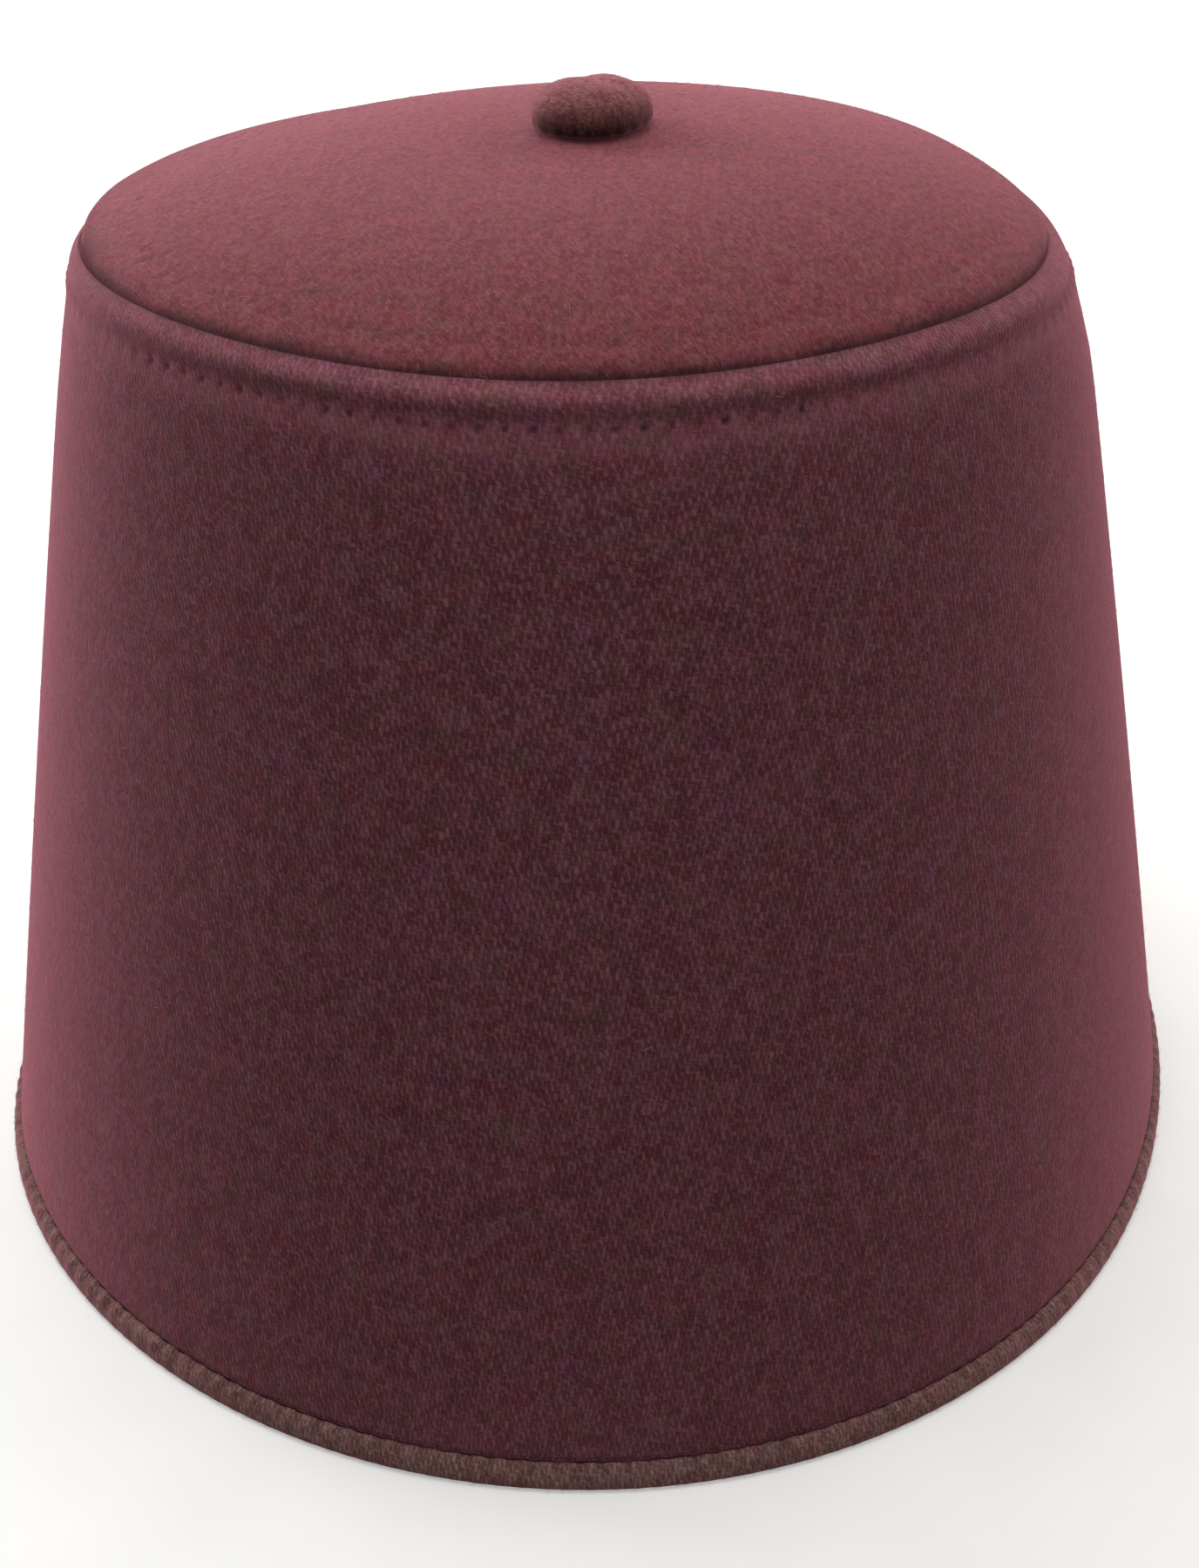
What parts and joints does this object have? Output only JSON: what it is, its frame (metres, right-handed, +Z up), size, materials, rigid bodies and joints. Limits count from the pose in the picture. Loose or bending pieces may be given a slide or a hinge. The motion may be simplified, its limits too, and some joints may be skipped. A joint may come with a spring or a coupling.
{
  "type": "fez hat",
  "caption": "Plain fez: a stiff tapered wool-cloth crown on an oval head opening, with a domed tip, a bound edge and a covered button.",
  "frame": {"origin": "middle of the oval bottom edge, on the surface that the hat stands on", "axes": "+Z up through the crown, +Y towards the back of the hat, +X to the right as seen from the front"},
  "size_m": [0.1678, 0.2068, 0.1417],
  "materials": {
    "side_cloth": "maroon wool twill, matt with a soft nap",
    "tip_cloth": "maroon wool twill, matt with a soft nap",
    "binding_cloth": "maroon wool twill, folded and pressed",
    "button_cloth": "maroon wool twill, stretched over a button"
  },
  "bodies": {
    "root": {"crown_side": "side_cloth", "crown_tip": "tip_cloth", "edge_binding": "binding_cloth", "top_button": "button_cloth"}
  },
  "joints": []
}
